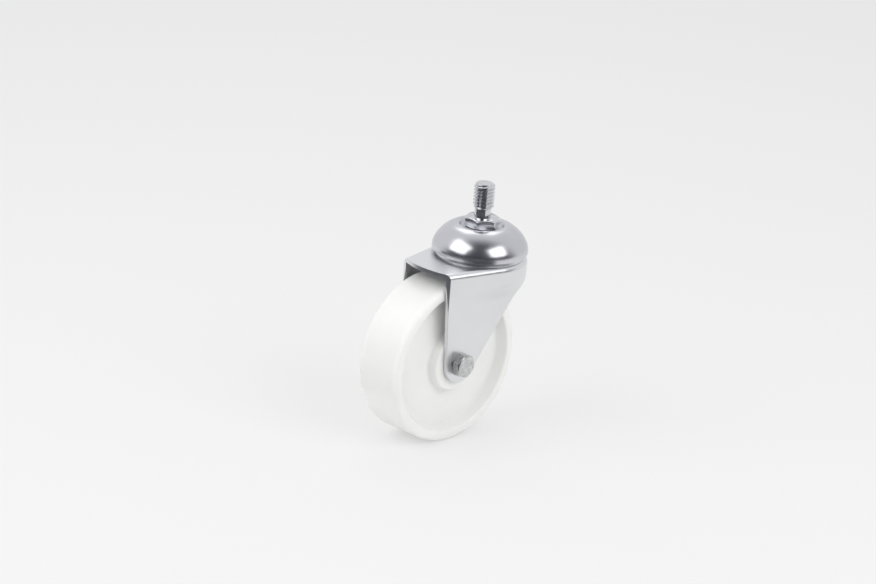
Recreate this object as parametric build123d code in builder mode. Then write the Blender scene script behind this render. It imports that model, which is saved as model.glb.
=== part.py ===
"""Threaded-stem swivel castor with a one-piece plastic wheel. Millimetres.

The swivel axis is Z, and the origin is the middle of the hex collar's top face, where the stem
seats. The wheel trails towards -X, and its axle runs along Y.
"""
import os
from math import acos, atan2, cos, degrees, hypot, pi, radians, sin, sqrt, tan

from build123d import *

# --- Stem, hex collar and king bolt ---------------------------------------------------------
thread_diameter = 12.7
thread_length = 15.8
thread_end_chamfer = 1.3
neck_diameter = 10.2
neck_length = 5.2
hex_across_flats = 19.0
hex_height = 5.9
collar_washer_diameter = 21.8
collar_washer_thickness = 1.1
king_shank_diameter = 12.0
king_tail_diameter = 18.0
king_tail_thickness = 2.0
king_tail_rounding = 0.9

# --- Dome, which is the upper race cup ------------------------------------------------------
dome_diameter = 58.0
dome_sheet = 2.0
dome_seat_height = 16.0
dome_seat_diameter = 23.4
dome_crest_diameter = 29.0
dome_crest_height = 18.6
dome_lip_gap = 2.4
dome_lip_height = 1.4
dome_shoulder_fullness = 0.42

# --- Fork sheet ------------------------------------------------------------------------------
fork_sheet = 2.5
fork_gap = 34.5
bend_radius = 3.6
crown_skirt_depth = 8.0
plate_front_radius = 47.8
leg_blend_depth = 17.0
leg_blend_steps = 4
leg_end_radius = 11.4
leg_shoulder_radius = 15.0
leg_shoulder_reach = 6.0
leg_shoulder_depth = 7.0
king_hole_diameter = 17.0
crown_hat_height = 10.0
press_fillet = 1.5

# --- Swivel bearing --------------------------------------------------------------------------
upper_ball_diameter = 7.0
upper_contact = 0.38
lower_ball_diameter = 5.5
ball_spacing = 0.25  # least gap between neighbouring balls
track_depth = 0.4
ball_clearance = 0.12
ball_side_gap = 0.5
lower_cup_hub_diameter = 17.4
lower_cup_depth = 3.0
lower_cup_edge = 0.6

# --- Wheel and axle --------------------------------------------------------------------------
wheel_diameter = 100.0
wheel_width = 32.0
tread_edge_radius = 3.0
trail = 30.0
axle_drop = 59.0
hub_side_gap = 0.3
hub_diameter = 34.0
recess_diameter = 88.0
recess_depth = 7.0
floor_rise = 2.4
recess_draft = 3.4
recess_fillet = 2.6
lip_fillet = 1.4
hub_fillet = 1.6
axle_diameter = 8.0
axle_hole_diameter = 8.4
axle_tube_diameter = 12.0
axle_running_gap = 0.06
bolt_length = 50.0
bolt_across_flats = 13.0
bolt_head_height = 5.3
bolt_head_turn = -16.7
bolt_end_chamfer = 1.0
nut_washer_diameter = 16.0
nut_washer_thickness = 1.6
nut_hex_height = 6.5
nut_collar_height = 1.7
nut_collar_diameter = 11.6
insert_height = 2.4
insert_diameter = 10.2
hex_corner_angle = 30.0
hex_face_margin = 0.35
fit_gap = 0.05

# --- Levels and places worked out from the sizes above ---------------------------------------
hex_bottom = -hex_height
dome_seat_level = hex_bottom - collar_washer_thickness
plate_level = dome_seat_level - dome_seat_height
axle_level = plate_level - axle_drop
leg_inner = fork_gap / 2
leg_outer = leg_inner + fork_sheet
dome_radius = dome_diameter / 2
crown_radius = dome_radius  # the crown is trimmed flush with the dome
crest_radius = dome_crest_diameter / 2
crest_level = plate_level + dome_crest_height
lip_level = plate_level + dome_lip_gap
shoulder_foot = lip_level + dome_lip_height


def shoulder_controls(inset):
    """Bezier control points (radius, height) of the dome's shoulder, or of its inside face."""
    foot_r = dome_radius - inset
    top = crest_level - inset
    return (
        (foot_r, shoulder_foot),
        (foot_r, shoulder_foot + dome_shoulder_fullness * (top - shoulder_foot)),
        (crest_radius + dome_shoulder_fullness * (foot_r - crest_radius), top),
        (crest_radius, top),
    )


def shoulder_point(along):
    """Point of the shoulder's inside face from foot (0) to crest (1), and its outward normal."""
    (r0, z0), (r1, z1), (r2, z2), (r3, z3) = shoulder_controls(dome_sheet)
    back = 1 - along
    radius = r0 * back**3 + 3 * r1 * back**2 * along + 3 * r2 * back * along**2 + r3 * along**3
    height = z0 * back**3 + 3 * z1 * back**2 * along + 3 * z2 * back * along**2 + z3 * along**3
    out = (r1 - r0) * back**2 + 2 * (r2 - r1) * back * along + (r3 - r2) * along**2
    up = (z1 - z0) * back**2 + 2 * (z2 - z1) * back * along + (z3 - z2) * along**2
    return radius, height, up / hypot(out, up), -out / hypot(out, up)


upper_ball_radius = upper_ball_diameter / 2
upper_track_radius = upper_ball_radius + ball_clearance
contact_r, contact_z, normal_r, normal_z = shoulder_point(upper_contact)
upper_pitch_radius = contact_r - normal_r * (upper_track_radius - track_depth)
upper_ball_level = contact_z - normal_z * (upper_track_radius - track_depth)
step_level = upper_ball_level - upper_track_radius + track_depth
step_radius = upper_pitch_radius + upper_ball_radius
upper_ball_count = int(2 * pi * upper_pitch_radius / (upper_ball_diameter + ball_spacing))
hat_radius = upper_pitch_radius - upper_ball_radius - ball_side_gap
hat_level = plate_level + crown_hat_height

lower_ball_radius = lower_ball_diameter / 2
lower_track_radius = lower_ball_radius + ball_clearance
lower_cup_radius = hat_radius - fork_sheet - ball_side_gap
lower_pitch_radius = lower_cup_radius - lower_ball_radius
lower_ball_count = int(2 * pi * lower_pitch_radius / (lower_ball_diameter + ball_spacing))
lower_ball_level = hat_level - fork_sheet - lower_track_radius + track_depth
lower_cup_top = lower_ball_level - lower_track_radius + track_depth
lower_cup_hub_top = lower_ball_level
lower_cup_bottom = plate_level - lower_cup_depth

axle_centre = (-trail, 0, axle_level)
axle_axis = Axis(axle_centre, (0, 1, 0))
axle_profile_plane = Plane(origin=axle_centre, x_dir=(0, 1, 0), z_dir=(1, 0, 0))

os.makedirs("parts", exist_ok=True)


def finish_piece(part, label):
    """Name a finished piece and write its file."""
    part.label = label
    export_step(part, f"parts/{label}.step")


def turned_hex(base, across_flats, height):
    """Hex prism on a plane, its corners turned off at both ends."""
    corner_radius = across_flats / sqrt(3)
    face_radius = across_flats / 2 - hex_face_margin
    cone = (corner_radius - face_radius) * tan(radians(hex_corner_angle))
    side = Plane(origin=base.origin, x_dir=base.x_dir, z_dir=base.x_dir.cross(base.z_dir))
    with BuildPart() as prism:
        with BuildSketch(base):
            RegularPolygon(across_flats / 2, 6, major_radius=False)
        extrude(amount=height)
        with BuildSketch(side):
            with BuildLine():
                Polyline(
                    (0, 0),
                    (face_radius, 0),
                    (corner_radius, cone),
                    (corner_radius, height - cone),
                    (face_radius, height),
                    (0, height),
                    close=True,
                )
            make_face()
        revolve(axis=Axis(base.origin, base.z_dir), mode=Mode.INTERSECT)
    return prism.part


def ring_washer(base, outer_diameter, inner_diameter, thickness):
    """Flat washer that stands on a plane."""
    with BuildPart() as washer:
        with BuildSketch(base):
            Circle(outer_diameter / 2)
            Circle(inner_diameter / 2, mode=Mode.SUBTRACT)
        extrude(amount=thickness)
    return washer.part


# --- King bolt: stem, neck, hex collar, shank and peened tail, forged as one ------------------
collar_plane = Plane(origin=(0, 0, hex_bottom), x_dir=(0, 1, 0), z_dir=(0, 0, 1))
collar_hex = turned_hex(collar_plane, hex_across_flats, hex_height)

with BuildPart() as king_bolt:
    stem_top = neck_length + thread_length
    tail_bottom = lower_cup_bottom - king_tail_thickness
    with BuildSketch(Plane.XZ):
        with Locations((0, 0)):
            Rectangle(neck_diameter / 2, neck_length, align=(Align.MIN, Align.MIN))
        with Locations((0, neck_length)):
            Rectangle(thread_diameter / 2, thread_length, align=(Align.MIN, Align.MIN))
        with Locations((0, lower_cup_bottom)):
            Rectangle(king_shank_diameter / 2, -lower_cup_bottom, align=(Align.MIN, Align.MIN))
        with Locations((0, tail_bottom)):
            Rectangle(king_tail_diameter / 2, king_tail_thickness, align=(Align.MIN, Align.MIN))
    revolve(axis=Axis.Z)
    add(collar_hex)
    round_edges = king_bolt.edges().filter_by(GeomType.CIRCLE)
    chamfer(round_edges.sort_by(Axis.Z)[-1], thread_end_chamfer)
    fillet(round_edges.sort_by(Axis.Z)[0], king_tail_rounding)
finish_piece(king_bolt.part, "king_bolt")

collar_washer = ring_washer(
    Plane.XY.offset(dome_seat_level),
    collar_washer_diameter,
    king_shank_diameter + 2 * fit_gap,
    collar_washer_thickness,
)
finish_piece(collar_washer, "collar_washer")

# --- Upper race cup: the dome, pressed from sheet ---------------------------------------------
with BuildPart() as upper_race_cup:
    seat_radius = dome_seat_diameter / 2
    bore_radius = king_shank_diameter / 2 + fit_gap
    with BuildSketch(Plane.XZ):
        with BuildLine():
            outer = Bezier(*shoulder_controls(0))
            inner = Bezier(*shoulder_controls(dome_sheet))
            Line((dome_radius, lip_level), outer @ 0)
            Line((dome_radius, lip_level), (dome_radius - dome_sheet, lip_level))
            Line((dome_radius - dome_sheet, lip_level), inner @ 0)
            Line((bore_radius, dome_seat_level), (bore_radius, dome_seat_level - dome_sheet))
            outer_seat = Line((bore_radius, dome_seat_level), (seat_radius, dome_seat_level))
            inner_seat = Line(
                (bore_radius, dome_seat_level - dome_sheet), (seat_radius, dome_seat_level - dome_sheet)
            )
            half_way = (crest_radius + seat_radius) / 2
            Bezier(outer @ 1, (half_way, crest_level), (half_way, dome_seat_level), outer_seat @ 1)
            Bezier(
                inner @ 1,
                (half_way, crest_level - dome_sheet),
                (half_way, dome_seat_level - dome_sheet),
                inner_seat @ 1,
            )
        make_face()
    revolve(axis=Axis.Z)
    with BuildSketch(Plane.XZ):
        with Locations((upper_pitch_radius, upper_ball_level)):
            Circle(upper_track_radius)
    revolve(axis=Axis.Z, mode=Mode.SUBTRACT)
finish_piece(upper_race_cup.part, "upper_race_cup")

# --- Lower race cup, riveted up against the lower balls ----------------------------------------
with BuildPart() as lower_race_cup:
    bore_radius = king_shank_diameter / 2 + fit_gap
    hub_radius = lower_cup_hub_diameter / 2
    with BuildSketch(Plane.XZ):
        with BuildLine():
            Polyline(
                (bore_radius, lower_cup_bottom),
                (lower_cup_radius, lower_cup_bottom),
                (lower_cup_radius, lower_cup_top),
                (lower_pitch_radius, lower_cup_top),
                (hub_radius, lower_cup_hub_top),
                (bore_radius, lower_cup_hub_top),
                close=True,
            )
        make_face()
    revolve(axis=Axis.Z)
    chamfer(lower_race_cup.faces().sort_by(Axis.Z)[0].outer_wire().edges(), lower_cup_edge)
    with BuildSketch(Plane.XZ):
        with Locations((lower_pitch_radius, lower_ball_level)):
            Circle(lower_track_radius)
    revolve(axis=Axis.Z, mode=Mode.SUBTRACT)
finish_piece(lower_race_cup.part, "lower_race_cup")

# --- Balls of the double swivel bearing ---------------------------------------------------------
for name, count, ball_radius, pitch_radius, level in (
    ("upper_ball", upper_ball_count, upper_ball_radius, upper_pitch_radius, upper_ball_level),
    ("lower_ball", lower_ball_count, lower_ball_radius, lower_pitch_radius, lower_ball_level),
):
    for index in range(count):
        angle = 2 * pi * index / count
        with BuildPart() as ball:
            with Locations((pitch_radius * cos(angle), pitch_radius * sin(angle), level)):
                Sphere(ball_radius)
        finish_piece(ball.part, f"{name}_{index + 1:02d}")

# --- Fork: one folded and pressed sheet ---------------------------------------------------------
corner_x = -sqrt(plate_front_radius**2 - leg_outer**2)
flare_angle = atan2(leg_outer, corner_x) - acos(crown_radius / plate_front_radius)
front_x = -plate_front_radius - bend_radius
rear_angle = atan2(leg_outer, sqrt(crown_radius**2 - leg_outer**2))
crown_inside = crown_radius - fork_sheet
wall_top = plate_level - crown_skirt_depth
blend_bottom = wall_top - leg_blend_depth


def side_point(radius, x):
    """Point at x on the straight side that runs from a front corner to a circle of the crown."""
    touch_x = radius * cos(flare_angle)
    touch_y = radius * sin(flare_angle)
    return x, touch_y + (touch_x - x) / tan(flare_angle)


def round_side(radius, bent_in, flat_y):
    """Control points of the crown's round side, moved towards the flat leg by a share."""
    handle = radius * 4 / 3 * tan((flare_angle - rear_angle) / 4)
    round_points = (
        (radius * cos(flare_angle), radius * sin(flare_angle)),
        (
            radius * cos(flare_angle) + handle * sin(flare_angle),
            radius * sin(flare_angle) - handle * cos(flare_angle),
        ),
        (
            radius * cos(rear_angle) - handle * sin(rear_angle),
            radius * sin(rear_angle) + handle * cos(rear_angle),
        ),
        (radius * cos(rear_angle), radius * sin(rear_angle)),
    )
    return [(x, y + bent_in * (flat_y - y)) for x, y in round_points]


def crown_plan(radius, flat_y):
    """Plan of the crown: a round back, and straight sides that run past the front edge."""
    front_y = side_point(radius, front_x)[1]
    controls = round_side(radius, 0, flat_y)
    with BuildSketch() as plan:
        with BuildLine():
            Line((front_x, -front_y), (front_x, front_y))
            for side in (1, -1):
                Line((front_x, side * front_y), (controls[0][0], side * controls[0][1]))
                Bezier(*[(x, side * y) for x, y in controls])
            CenterArc((0, 0), radius, -degrees(rear_angle), 2 * degrees(rear_angle))
        make_face()
    return plan.sketch


def wall_plan(bent_in):
    """Plan of one side wall, from the round crown (0) to the flat leg (1)."""
    with BuildSketch() as plan:
        with BuildLine():
            ends = []
            for radius, flat_y in ((crown_radius, leg_outer), (crown_inside, leg_inner)):
                front_y = side_point(radius, front_x)[1]
                front_y += bent_in * (flat_y - front_y)
                controls = round_side(radius, bent_in, flat_y)
                Line((front_x, front_y), controls[0])
                Bezier(*controls)
                ends.append(((front_x, front_y), controls[-1]))
            (outer_front, outer_rear), (inner_front, inner_rear) = ends
            Line(outer_front, inner_front)
            Line(outer_rear, inner_rear)
        make_face()
    return plan.sketch


# The leg's side view: a round end at the axle, a straight front, and a slanted back edge that
# curves up to the crown.
with BuildPart() as leg:
    sections = []
    for step in range(leg_blend_steps + 1):
        share = step / leg_blend_steps
        bent_in = share**2 * (3 - 2 * share)
        level = wall_top - leg_blend_depth * share
        sections.append(Plane.XY.offset(level) * wall_plan(bent_in))
    loft(sections)
    extrude(sections[-1], amount=-(axle_drop + leg_end_radius))
    with BuildSketch(Plane.XZ):
        with Locations((-trail, axle_level)):
            Circle(leg_end_radius)
        with Locations((leg_shoulder_reach, plate_level - leg_shoulder_depth)):
            Circle(leg_shoulder_radius)
        with Locations((corner_x - fork_sheet / 2, plate_level)):
            Rectangle(fork_sheet, bend_radius, align=(Align.MIN, Align.MAX))
        make_hull()
    extrude(amount=plate_front_radius, both=True, mode=Mode.INTERSECT)

with BuildPart() as fork:
    with BuildSketch(Plane.XY.offset(wall_top)):
        add(crown_plan(crown_radius, leg_outer))
    extrude(amount=crown_skirt_depth)
    fillet(fork.faces().sort_by(Axis.Z)[-1].edges(), bend_radius)
    with BuildSketch(Plane.XY.offset(wall_top)):
        add(crown_plan(crown_inside, leg_inner))
    extrude(amount=crown_skirt_depth - fork_sheet, mode=Mode.SUBTRACT)
    add(leg.part)
    add(leg.part.mirror(Plane.XZ))
    with BuildSketch(Plane.XY.offset(plate_level)):
        Circle(plate_front_radius)
    extrude(amount=-axle_drop - leg_end_radius, mode=Mode.INTERSECT)
    with BuildSketch(Plane.XZ):
        with BuildLine():
            Polyline(
                (0, hat_level),
                (hat_radius, hat_level),
                (hat_radius, step_level),
                (step_radius, step_level),
                (step_radius + press_fillet, plate_level),
                (step_radius + press_fillet, plate_level - fork_sheet / 2),
                (0, plate_level - fork_sheet / 2),
                close=True,
            )
        make_face()
    revolve(axis=Axis.Z)
    with BuildSketch(Plane.XZ):
        with BuildLine():
            Polyline(
                (0, hat_level - fork_sheet),
                (hat_radius - fork_sheet, hat_level - fork_sheet),
                (hat_radius - fork_sheet, step_level - fork_sheet),
                (step_radius - fork_sheet, step_level - fork_sheet),
                (step_radius - fork_sheet, plate_level - fork_sheet),
                (0, plate_level - fork_sheet),
                close=True,
            )
        make_face()
    revolve(axis=Axis.Z, mode=Mode.SUBTRACT)
    with BuildSketch(Plane.XZ):
        with Locations((upper_pitch_radius, upper_ball_level)):
            Circle(upper_track_radius)
        with Locations((lower_pitch_radius, lower_ball_level)):
            Circle(lower_track_radius)
    revolve(axis=Axis.Z, mode=Mode.SUBTRACT)
    with Locations((0, 0, hat_level)):
        Hole(king_hole_diameter / 2, depth=2 * fork_sheet)
    with BuildSketch(Plane.XZ):
        with Locations((-trail, axle_level)):
            Circle(axle_hole_diameter / 2)
    extrude(amount=plate_front_radius, both=True, mode=Mode.SUBTRACT)
finish_piece(fork.part, "fork")

# --- Wheel: hub, web, recesses and tread, moulded as one ------------------------------------------
with BuildPart() as wheel:
    half_width = wheel_width / 2
    half_hub = leg_inner - hub_side_gap
    floor_edge = half_width - recess_depth
    recess_radius = recess_diameter / 2
    hub_radius = hub_diameter / 2
    bore_radius = axle_tube_diameter / 2 + axle_running_gap
    with BuildSketch(axle_profile_plane):
        with BuildLine():
            half_profile = Polyline(
                (0, bore_radius),
                (half_hub, bore_radius),
                (half_hub, hub_radius),
                (floor_edge + floor_rise, hub_radius + hub_fillet),
                (floor_edge, recess_radius - recess_draft),
                (half_width, recess_radius),
                (half_width, wheel_diameter / 2),
                (0, wheel_diameter / 2),
            )
            mirror(half_profile, about=Plane.YZ)
        make_face()
    revolve(axis=axle_axis)
    for radius, rounding in (
        (wheel_diameter / 2, tread_edge_radius),
        (recess_radius, lip_fillet),
        (recess_radius - recess_draft, recess_fillet),
        (hub_radius, hub_fillet),
        (hub_radius + hub_fillet, hub_fillet),
    ):
        fillet(
            [edge for edge in wheel.edges().filter_by(GeomType.CIRCLE) if abs(edge.radius - radius) < fit_gap],
            rounding,
        )
finish_piece(wheel.part, "wheel")


# --- Axle: clamped tube, bolt, washer and lock nut --------------------------------------------------
def across_axle(y, facing, turn=0):
    """Plane square to the axle, facing +Y (1) or -Y (-1), its X turned from the part's X."""
    along = (cos(radians(turn)), 0, sin(radians(turn)))
    return Plane(origin=(-trail, y, axle_level), x_dir=along, z_dir=(0, facing, 0))


axle_tube = ring_washer(across_axle(-leg_inner, 1), axle_tube_diameter, axle_hole_diameter, fork_gap)
finish_piece(axle_tube, "axle_tube")

bolt_head = turned_hex(
    across_axle(-leg_outer, -1, bolt_head_turn), bolt_across_flats, bolt_head_height
)
with BuildPart() as axle_bolt:
    with BuildSketch(across_axle(-leg_outer, 1)):
        Circle(axle_diameter / 2)
    extrude(amount=bolt_length)
    chamfer(axle_bolt.faces().sort_by(Axis.Y)[-1].edges(), bolt_end_chamfer)
    add(bolt_head)
finish_piece(axle_bolt.part, "axle_bolt")

nut_washer = ring_washer(
    across_axle(leg_outer, 1), nut_washer_diameter, axle_hole_diameter, nut_washer_thickness
)
finish_piece(nut_washer, "nut_washer")

nut_seat = leg_outer + nut_washer_thickness
insert_bottom = nut_hex_height + nut_collar_height - insert_height
nut_hex = turned_hex(across_axle(nut_seat, 1), bolt_across_flats, nut_hex_height)
with BuildPart() as axle_nut:
    add(nut_hex)
    with BuildSketch(across_axle(nut_seat, 1)):
        Circle(nut_collar_diameter / 2)
    extrude(amount=nut_hex_height + nut_collar_height)
    with BuildSketch(across_axle(nut_seat, 1)):
        Circle(axle_diameter / 2 + fit_gap)
    extrude(amount=nut_hex_height + nut_collar_height, mode=Mode.SUBTRACT)
    with BuildSketch(across_axle(nut_seat + insert_bottom, 1)):
        Circle(insert_diameter / 2)
    extrude(amount=insert_height, mode=Mode.SUBTRACT)
finish_piece(axle_nut.part, "axle_nut")

nut_insert = ring_washer(
    across_axle(nut_seat + insert_bottom, 1), insert_diameter, axle_diameter, insert_height
)
finish_piece(nut_insert, "nut_insert")
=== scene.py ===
"""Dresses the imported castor: a cut thread, smooth turned and pressed steel, and a white nylon wheel."""
import math

import bpy
from mathutils import Matrix, Vector


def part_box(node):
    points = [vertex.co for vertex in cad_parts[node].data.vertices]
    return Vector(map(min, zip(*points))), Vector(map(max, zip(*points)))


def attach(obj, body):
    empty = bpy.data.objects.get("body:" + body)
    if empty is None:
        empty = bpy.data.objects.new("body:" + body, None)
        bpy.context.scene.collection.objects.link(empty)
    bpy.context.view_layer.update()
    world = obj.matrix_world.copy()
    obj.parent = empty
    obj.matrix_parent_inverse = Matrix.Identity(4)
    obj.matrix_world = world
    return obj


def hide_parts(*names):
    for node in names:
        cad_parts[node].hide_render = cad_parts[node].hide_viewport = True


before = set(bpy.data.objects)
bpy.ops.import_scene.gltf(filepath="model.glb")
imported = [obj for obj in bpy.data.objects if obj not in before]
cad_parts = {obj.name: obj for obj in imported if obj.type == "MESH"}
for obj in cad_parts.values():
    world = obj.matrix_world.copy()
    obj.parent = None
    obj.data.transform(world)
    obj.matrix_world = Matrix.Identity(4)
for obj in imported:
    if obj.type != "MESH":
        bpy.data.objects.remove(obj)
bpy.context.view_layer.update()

MM = 0.001

# --- Places read from the frame, in metres -------------------------------------------------------
bolt_low, bolt_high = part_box("king_bolt")
floor_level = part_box("wheel")[0].z
collar_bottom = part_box("collar_washer")[1].z
tail_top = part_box("lower_race_cup")[0].z
plate_point = Vector((0, 0, -23 * MM))  # middle of the fork's plate

# --- King bolt, in metres ------------------------------------------------------------------------
THREAD_RADIUS = 6.35 * MM
THREAD_PITCH = 25.4 / 12 * MM
THREAD_DEPTH = 0.62 * THREAD_PITCH
THREAD_CREST = 0.16  # share of the pitch that is flat at the crest
THREAD_STEEPNESS = 1.15  # above 1, the root is flat as well
THREAD_RUN_IN = 0.8 * THREAD_PITCH
THREAD_ROWS = 18  # rows of points in one turn
NECK_RADIUS = 5.1 * MM
NECK_TOP = 5.2 * MM
END_CHAMFER = 1.3 * MM
END_FACE_SHARE = 0.94
HEX_APOTHEM = (bolt_high.x - bolt_low.x) / 2
HEX_FACE_MARGIN = 0.35 * MM
HEX_SHARPNESS = 90
HEX_CHAMFER_SLOPE = math.tan(math.radians(30))
HEX_CHAMFER_STEPS = 8
HEX_SEGMENTS = 240
SHANK_RADIUS = 6.0 * MM
TAIL_RADIUS = 9.0 * MM
TAIL_ROUNDING = 0.9 * MM
TAIL_STEPS = 6
STEM_SEGMENTS = 128


# --- Mesh helpers --------------------------------------------------------------------------------
def ring(radius, height, segments=STEM_SEGMENTS):
    """Points of a level circle; radius may be a function of the angle."""
    points = []
    for step in range(segments):
        angle = 2 * math.pi * step / segments
        size = radius(angle) if callable(radius) else radius
        points.append((size * math.cos(angle), size * math.sin(angle), height))
    return points


def add_shell(points, faces, rings):
    """Add a closed shell through equal rings to lists of points and faces."""
    start = len(points)
    count = len(rings[0])
    for loop in rings:
        points.extend(loop)
    for row in range(len(rings) - 1):
        low = start + row * count
        high = low + count
        for step in range(count):
            following = (step + 1) % count
            faces.append((low + step, low + following, high + following, high + step))
    last = start + (len(rings) - 1) * count
    faces.append(tuple(start + step for step in reversed(range(count))))
    faces.append(tuple(last + step for step in range(count)))


def mesh_object(name, points, faces, sharp_degrees):
    """Mesh object that is smooth but for edges sharper than an angle."""
    mesh = bpy.data.meshes.new(name)
    mesh.from_pydata(points, [], faces)
    mesh.validate()
    mesh.polygons.foreach_set("use_smooth", [True] * len(mesh.polygons))
    mesh.set_sharp_from_angle(angle=math.radians(sharp_degrees))
    return placed(name, mesh)


def placed(name, data):
    """Object made of the data and put in the scene."""
    thing = bpy.data.objects.new(name, data)
    bpy.context.scene.collection.objects.link(thing)
    return thing


# --- King bolt with its rolled thread -------------------------------------------------------------
def thread_radius_at(height):
    """Radius of the right-hand thread round one level, as a function of the angle."""
    cone = THREAD_RADIUS - max(0.0, height - (bolt_high.z - END_CHAMFER))
    run_in = min(1.0, max(0.0, (height - NECK_TOP) / THREAD_RUN_IN))

    def radius(angle):
        turn = (height / THREAD_PITCH - angle / (2 * math.pi)) % 1.0
        flank = max(0.0, abs(2 * turn - 1) - THREAD_CREST) / (1 - THREAD_CREST)
        cut = THREAD_RADIUS - THREAD_DEPTH * min(1.0, flank * THREAD_STEEPNESS)
        blank = NECK_RADIUS + (cut - NECK_RADIUS) * run_in
        return min(blank, cone)

    return radius


def hex_radius(apothem, cone):
    """Radius of a hex prism with slightly rounded corners, limited by its turned cone."""
    def radius(angle):
        near_flats = (max(0.0, math.cos(angle - k * math.pi / 3)) for k in range(6))
        total = sum(share**HEX_SHARPNESS for share in near_flats)
        return min(apothem / total ** (1 / HEX_SHARPNESS), cone)

    return radius


def hex_rings(apothem, bottom, top):
    """Rings of a hex whose corners are turned off at both ends."""
    face = apothem - HEX_FACE_MARGIN
    chamfer_height = (apothem * 2 / math.sqrt(3) - face) * HEX_CHAMFER_SLOPE
    chamfer = []
    for step in range(1, HEX_CHAMFER_STEPS + 1):
        level = chamfer_height * step / HEX_CHAMFER_STEPS
        chamfer.append((hex_radius(apothem, face + level / HEX_CHAMFER_SLOPE), level))
    rings = [ring(face, bottom, HEX_SEGMENTS)]
    rings += [ring(radius, bottom + level, HEX_SEGMENTS) for radius, level in chamfer]
    rings += [ring(radius, top - level, HEX_SEGMENTS) for radius, level in reversed(chamfer)]
    rings.append(ring(face, top, HEX_SEGMENTS))
    return rings


def stem_rings():
    """Rings of the neck and the threaded stem, from the collar to the chamfered end."""
    rings = [ring(NECK_RADIUS, 0.0), ring(NECK_RADIUS, NECK_TOP)]
    length = bolt_high.z - NECK_TOP
    count = round(length / THREAD_PITCH * THREAD_ROWS)
    for row in range(1, count + 1):
        height = NECK_TOP + length * row / count
        rings.append(ring(thread_radius_at(height), height))
    rings.append(ring((THREAD_RADIUS - END_CHAMFER) * END_FACE_SHARE, bolt_high.z))
    return rings


def shank_rings():
    """Rings of the shank and its peened tail, from the bottom up."""
    rings = [ring(SHANK_RADIUS, collar_bottom), ring(SHANK_RADIUS, tail_top)]
    rings.append(ring(TAIL_RADIUS, tail_top))
    for step in range(TAIL_STEPS + 1):
        angle = math.pi / 2 * step / TAIL_STEPS
        inset = TAIL_ROUNDING * (1 - math.cos(angle))
        rise = TAIL_ROUNDING * (1 - math.sin(angle))
        rings.append(ring(TAIL_RADIUS - inset, bolt_low.z + rise))
    return rings[::-1]


def king_bolt_piece():
    """Stem with its thread, neck, hex collar, shank and peened tail."""
    points, faces = [], []
    add_shell(points, faces, stem_rings())
    add_shell(points, faces, hex_rings(HEX_APOTHEM, collar_bottom, 0.0))
    add_shell(points, faces, shank_rings())
    return mesh_object("king_bolt_threaded", points, faces, 32)


# --- Materials --------------------------------------------------------------------------------------
def new_material(name):
    """Material with its shader, nodes, links and object coordinates."""
    material = bpy.data.materials.new(name)
    material.use_nodes = True
    nodes = material.node_tree.nodes
    shader = nodes["Principled BSDF"]
    coordinates = nodes.new("ShaderNodeTexCoord")
    return material, nodes, material.node_tree.links, shader, coordinates


def noise(nodes, links, coordinates, scale, detail=4.0):
    """Noise in object space; scale is in cycles for each metre."""
    texture = nodes.new("ShaderNodeTexNoise")
    texture.inputs["Scale"].default_value = scale
    texture.inputs["Detail"].default_value = detail
    links.new(coordinates.outputs["Object"], texture.inputs["Vector"])
    return texture.outputs["Fac"]


def mapped(nodes, links, value, low, high):
    """Value of a noise mapped to a range."""
    node = nodes.new("ShaderNodeMapRange")
    node.inputs["From Min"].default_value = 0.3
    node.inputs["From Max"].default_value = 0.7
    node.inputs["To Min"].default_value = low
    node.inputs["To Max"].default_value = high
    links.new(value, node.inputs["Value"])
    return node.outputs["Result"]


def blended(nodes, links, value, dark, light):
    """Colour between two, by a noise."""
    node = nodes.new("ShaderNodeMix")
    node.data_type = "RGBA"
    node.inputs["A"].default_value = (*dark, 1)
    node.inputs["B"].default_value = (*light, 1)
    links.new(mapped(nodes, links, value, 0, 1), node.inputs["Factor"])
    return node.outputs["Result"]


def bumped(nodes, links, shader, height, distance, edge_radius=0.0):
    """Fine relief of a height in metres, over slightly rounded edges."""
    bump = nodes.new("ShaderNodeBump")
    bump.inputs["Strength"].default_value = 1.0
    bump.inputs["Distance"].default_value = distance
    links.new(height, bump.inputs["Height"])
    if edge_radius:
        bevel = nodes.new("ShaderNodeBevel")
        bevel.samples = 4
        bevel.inputs["Radius"].default_value = edge_radius
        links.new(bevel.outputs["Normal"], bump.inputs["Normal"])
    links.new(bump.outputs["Normal"], shader.inputs["Normal"])


def plated_steel(name, tones, gloss, patch_scale, grain, edge_radius):
    """Plated steel: cloudy between two tones, uneven gloss, and a grain of (scale, height)."""
    material, nodes, links, shader, coordinates = new_material(name)
    grain_scale, grain_height = grain
    patches = noise(nodes, links, coordinates, patch_scale)
    relief = noise(nodes, links, coordinates, grain_scale, 6.0)
    shader.inputs["Metallic"].default_value = 1.0
    links.new(blended(nodes, links, patches, *tones), shader.inputs["Base Color"])
    links.new(mapped(nodes, links, relief, *gloss), shader.inputs["Roughness"])
    bumped(nodes, links, shader, relief, grain_height * MM, edge_radius * MM)
    return material


def nylon(name, tones, gloss):
    """Moulded nylon: light scatters in it, and its gloss is uneven."""
    material, nodes, links, shader, coordinates = new_material(name)
    clouds = noise(nodes, links, coordinates, 28.0)
    grain = noise(nodes, links, coordinates, 900.0)
    links.new(blended(nodes, links, clouds, *tones), shader.inputs["Base Color"])
    links.new(mapped(nodes, links, clouds, *gloss), shader.inputs["Roughness"])
    shader.inputs["IOR"].default_value = 1.53
    shader.inputs["Subsurface Weight"].default_value = 0.35
    shader.inputs["Subsurface Radius"].default_value = (1.0, 0.95, 0.85)
    shader.inputs["Subsurface Scale"].default_value = 2.5 * MM
    bumped(nodes, links, shader, grain, 0.02 * MM)
    return material


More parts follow.
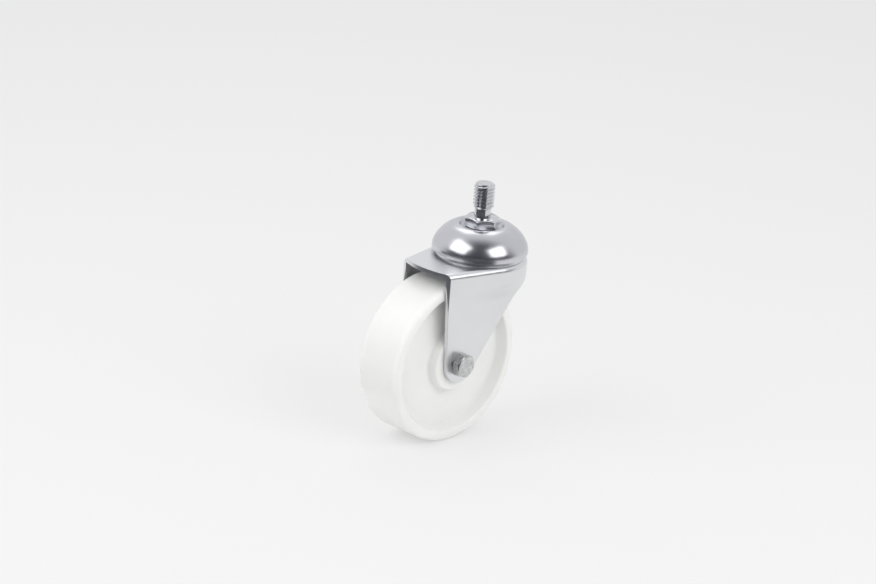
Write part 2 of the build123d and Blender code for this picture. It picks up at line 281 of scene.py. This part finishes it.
# Each steel has two tones, a range of roughness, the scale of its clouds, its grain's scale and
# height, and the rounding of its edges in millimetres.
dome_plate = plated_steel(
    "dome_plate", ((0.60, 0.60, 0.64), (0.68, 0.68, 0.71)), (0.22, 0.27), 40, (1400, 0.0006), 0.25
)
fork_zinc = plated_steel(
    "fork_zinc", ((0.76, 0.765, 0.78), (0.81, 0.815, 0.83)), (0.28, 0.32), 24, (1100, 0.0002), 0.3
)
bolt_zinc = plated_steel(
    "bolt_zinc", ((0.48, 0.49, 0.49), (0.68, 0.69, 0.69)), (0.20, 0.30), 420, (900, 0.003), 0.25
)
stem_zinc = plated_steel(
    "stem_zinc", ((0.62, 0.63, 0.65), (0.76, 0.77, 0.79)), (0.16, 0.24), 260, (1200, 0.002), 0.0
)
race_steel = plated_steel(
    "race_steel", ((0.42, 0.42, 0.43), (0.52, 0.52, 0.53)), (0.22, 0.32), 120, (1500, 0.003), 0.15
)
ball_steel = plated_steel(
    "ball_steel", ((0.66, 0.66, 0.67), (0.72, 0.72, 0.73)), (0.06, 0.10), 90, (1800, 0.0005), 0.0
)
white_nylon = nylon("white_nylon", ((0.83, 0.835, 0.815), (0.87, 0.875, 0.86)), (0.30, 0.42))
insert_nylon = nylon("insert_nylon", ((0.72, 0.74, 0.72), (0.80, 0.81, 0.79)), (0.45, 0.55))

NODE_MATERIALS = {
    "upper_race_cup": dome_plate,
    "fork": fork_zinc,
    "king_bolt": stem_zinc,
    "collar_washer": bolt_zinc,
    "axle_bolt": bolt_zinc,
    "axle_nut": bolt_zinc,
    "nut_washer": bolt_zinc,
    "lower_race_cup": race_steel,
    "axle_tube": race_steel,
    "nut_insert": insert_nylon,
    "wheel": white_nylon,
}


def dress(piece, material):
    """Give a piece one material."""
    piece.data.materials.clear()
    piece.data.materials.append(material)


for node_name, node_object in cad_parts.items():
    dress(node_object, NODE_MATERIALS.get(node_name, ball_steel))

king_bolt = king_bolt_piece()
dress(king_bolt, stem_zinc)
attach(king_bolt, "root")
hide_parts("king_bolt")

# --- Camera --------------------------------------------------------------------------------------
VIEW_AZIMUTH = math.radians(-46.0)
VIEW_ELEVATION = math.radians(19.8)
VIEW_ROLL = math.radians(-4.3)
VIEW_DISTANCE = 1.97
AIM_LEFT = 0.0249
AIM_BELOW = 0.0237
LENS_MM = 135
SENSOR_MM = 36

towards_camera = Vector((
    math.sin(VIEW_AZIMUTH) * math.cos(VIEW_ELEVATION),
    -math.cos(VIEW_AZIMUTH) * math.cos(VIEW_ELEVATION),
    math.sin(VIEW_ELEVATION),
))
level_right = Vector((math.cos(VIEW_AZIMUTH), math.sin(VIEW_AZIMUTH), 0))
level_down = level_right.cross(towards_camera)
right = math.cos(VIEW_ROLL) * level_right + math.sin(VIEW_ROLL) * level_down
down = math.cos(VIEW_ROLL) * level_down - math.sin(VIEW_ROLL) * level_right
camera_place = plate_point + towards_camera * VIEW_DISTANCE - right * AIM_LEFT + down * AIM_BELOW
camera_data = bpy.data.cameras.new("camera")
camera_data.lens = LENS_MM
camera_data.sensor_width = SENSOR_MM
camera = placed("camera", camera_data)
turn = Matrix((right, -down, towards_camera)).transposed().to_4x4()
camera.matrix_world = Matrix.Translation(camera_place) @ turn
bpy.context.scene.camera = camera

# --- Floor and studio -----------------------------------------------------------------------------
FLOOR_TONE = (0.865, 0.865, 0.865, 1)
FLOOR_HALF = 6.0
FLOOR_SEEN_SHARE = 0.6  # share of its plain tone, over its lit tone, for the camera and the metal
CAMERA_SIDE = (0.045, 0.047, 0.06, 1)
FAR_SIDE = (0.78, 0.78, 0.80, 1)
CARD_TONE = (0.05, 0.052, 0.065, 1)
AMBIENT = (0.70, 0.70, 0.70, 1)


def floor_material():
    """Matt floor that the camera and the metal see mostly at its own plain tone."""
    material = bpy.data.materials.new("floor_paper")
    material.use_nodes = True
    nodes, links = material.node_tree.nodes, material.node_tree.links
    shader = nodes["Principled BSDF"]
    shader.inputs["Base Color"].default_value = FLOOR_TONE
    shader.inputs["Roughness"].default_value = 0.9
    shader.inputs["Specular IOR Level"].default_value = 0.1
    glow = nodes.new("ShaderNodeEmission")
    glow.inputs["Color"].default_value = FLOOR_TONE
    path = nodes.new("ShaderNodeLightPath")
    either = nodes.new("ShaderNodeMath")
    either.operation = "MAXIMUM"
    share = nodes.new("ShaderNodeMath")
    share.operation = "MULTIPLY"
    share.inputs[1].default_value = FLOOR_SEEN_SHARE
    mix = nodes.new("ShaderNodeMixShader")
    links.new(path.outputs["Is Camera Ray"], either.inputs[0])
    links.new(path.outputs["Is Glossy Ray"], either.inputs[1])
    links.new(either.outputs["Value"], share.inputs[0])
    links.new(share.outputs["Value"], mix.inputs["Fac"])
    links.new(shader.outputs["BSDF"], mix.inputs[1])
    links.new(glow.outputs["Emission"], mix.inputs[2])
    links.new(mix.outputs["Shader"], nodes["Material Output"].inputs["Surface"])
    return material


def studio_floor():
    """Level square of paper that the wheel stands on."""
    corners = [(-1, -1), (1, -1), (1, 1), (-1, 1)]
    mesh = bpy.data.meshes.new("floor")
    points = [(x * FLOOR_HALF, y * FLOOR_HALF, floor_level) for x, y in corners]
    mesh.from_pydata(points, [], [(0, 1, 2, 3)])
    mesh.materials.append(floor_material())
    placed("floor", mesh)


def studio_world():
    """Room that is dark on the camera's side in metal, with even light for matt surfaces."""
    world = bpy.data.worlds.new("studio")
    world.use_nodes = True
    nodes, links = world.node_tree.nodes, world.node_tree.links
    nodes.clear()

    def background(colour=None):
        node = nodes.new("ShaderNodeBackground")
        if colour:
            node.inputs["Color"].default_value = colour
        return node

    def either(fraction, first, second):
        node = nodes.new("ShaderNodeMixShader")
        links.new(fraction, node.inputs["Fac"])
        links.new(first, node.inputs[1])
        links.new(second, node.inputs[2])
        return node.outputs["Shader"]

    coordinates = nodes.new("ShaderNodeTexCoord")
    facing = nodes.new("ShaderNodeVectorMath")
    facing.operation = "DOT_PRODUCT"
    facing.inputs[1].default_value = (towards_camera.x, towards_camera.y, -0.15)
    links.new(coordinates.outputs["Generated"], facing.inputs[0])
    fall = nodes.new("ShaderNodeMapRange")
    fall.interpolation_type = "SMOOTHSTEP"
    fall.inputs["From Min"].default_value = -0.25
    fall.inputs["From Max"].default_value = 0.30
    links.new(facing.outputs["Value"], fall.inputs["Value"])
    tone = nodes.new("ShaderNodeMix")
    tone.data_type = "RGBA"
    tone.inputs["A"].default_value = FAR_SIDE
    tone.inputs["B"].default_value = CAMERA_SIDE
    links.new(fall.outputs["Result"], tone.inputs["Factor"])
    reflected = background()
    links.new(tone.outputs["Result"], reflected.inputs["Color"])
    even, seen = background(AMBIENT), background(FLOOR_TONE)
    path = nodes.new("ShaderNodeLightPath")
    in_metal = either(
        path.outputs["Is Glossy Ray"], even.outputs["Background"], reflected.outputs["Background"]
    )
    all_rays = either(path.outputs["Is Camera Ray"], in_metal, seen.outputs["Background"])
    links.new(all_rays, nodes.new("ShaderNodeOutputWorld").inputs["Surface"])
    bpy.context.scene.world = world


def dark_card(first_angle, last_angle, inner, outer, steps=24):
    """Dark sector on the floor that only metal reflects, as the unlit room on the camera's side."""
    points, faces = [], []
    for step in range(steps + 1):
        angle = math.radians(first_angle + (last_angle - first_angle) * step / steps)
        for radius in (inner, outer):
            points.append((radius * math.cos(angle), radius * math.sin(angle), floor_level + 1 * MM))
        if step:
            start = 2 * step
            faces.append((start - 2, start - 1, start + 1, start))
    card = mesh_object("dark_card", points, faces, 30)
    material = bpy.data.materials.new("card_black")
    material.use_nodes = True
    shader = material.node_tree.nodes["Principled BSDF"]
    shader.inputs["Base Color"].default_value = CARD_TONE
    shader.inputs["Roughness"].default_value = 0.9
    card.data.materials.append(material)
    card.visible_camera = False
    card.visible_diffuse = False
    card.visible_transmission = False
    card.visible_shadow = False


def softbox(name, azimuth, elevation, distance, width, height, radiance):
    """Soft light aimed at the plate, from angles in degrees; azimuth runs from +X to +Y."""
    across, up = math.radians(azimuth), math.radians(elevation)
    direction = Vector((math.cos(across) * math.cos(up), math.sin(across) * math.cos(up), math.sin(up)))
    data = bpy.data.lights.new(name, "AREA")
    data.shape = "RECTANGLE"
    data.size = width
    data.size_y = height
    data.energy = radiance * math.pi * width * height
    light = placed(name, data)
    light.location = plate_point + direction * distance
    light.rotation_euler = (-direction).to_track_quat("-Z", "Y").to_euler()


studio_floor()
studio_world()
dark_card(125, 262, 0.10, 3.0)
softbox("left_softbox", 164, 40, 1.1, 0.80, 0.70, 2.3)
softbox("right_softbox", 274, 36, 1.1, 0.70, 0.62, 2.6)
softbox("back_softbox", 50, 55, 1.2, 0.8, 0.6, 1.0)

bpy.context.scene.view_settings.view_transform = "Standard"
